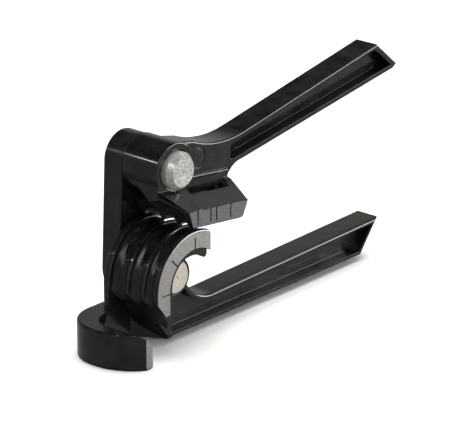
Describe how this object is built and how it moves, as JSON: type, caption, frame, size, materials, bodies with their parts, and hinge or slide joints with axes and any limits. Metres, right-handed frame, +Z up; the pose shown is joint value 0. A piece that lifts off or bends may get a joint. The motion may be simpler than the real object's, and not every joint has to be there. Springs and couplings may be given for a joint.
{
  "type": "manual tube bender",
  "caption": "Pocket hand tube bender: a grooved round die with a tube hook on one handle, and a pivoting grooved shoe on the other.",
  "frame": {"origin": "under the middle of the whole tool, level with the base of the tube hook", "axes": "+X along the lower handle from the die to the handle's end, +Y from the ground front faces to the side link at the back, +Z up"},
  "size_m": [0.2112, 0.0466, 0.1113],
  "materials": {
    "black_coated_casting": "gloss black stoved coat on die-cast alloy, bare ground front faces",
    "black_coated_link": "gloss black stoved coat on die-cast alloy",
    "plated_pin": "dull pale plated",
    "turned_pin": "bright turned",
    "dark_washer": "black oiled",
    "plated_washer": "zinc plated",
    "spring_steel": "phosphated spring steel"
  },
  "bodies": {
    "lower": {"lower_handle": "black_coated_casting", "die_pin": "plated_pin", "die_back_washer": "plated_washer", "die_retaining_ring": "spring_steel"},
    "link": {"side_link": "black_coated_link", "die_washer": "dark_washer", "handle_washer": "dark_washer"},
    "upper": {"upper_handle": "black_coated_casting", "handle_pin": "turned_pin", "handle_back_washer": "plated_washer", "handle_retaining_ring": "spring_steel"}
  },
  "joints": [
    {"name": "link_swing", "type": "hinge", "parent": "lower", "child": "link", "pos_m": [-0.06015, 0.01675, 0.033], "axis": [0, 1, 0], "range_deg": [-92, 7]},
    {"name": "handle_pivot", "type": "hinge", "parent": "link", "child": "upper", "pos_m": [-0.05905, 0.01675, 0.08549], "axis": [0, 1, 0], "range_deg": [-120, 0]}
  ]
}
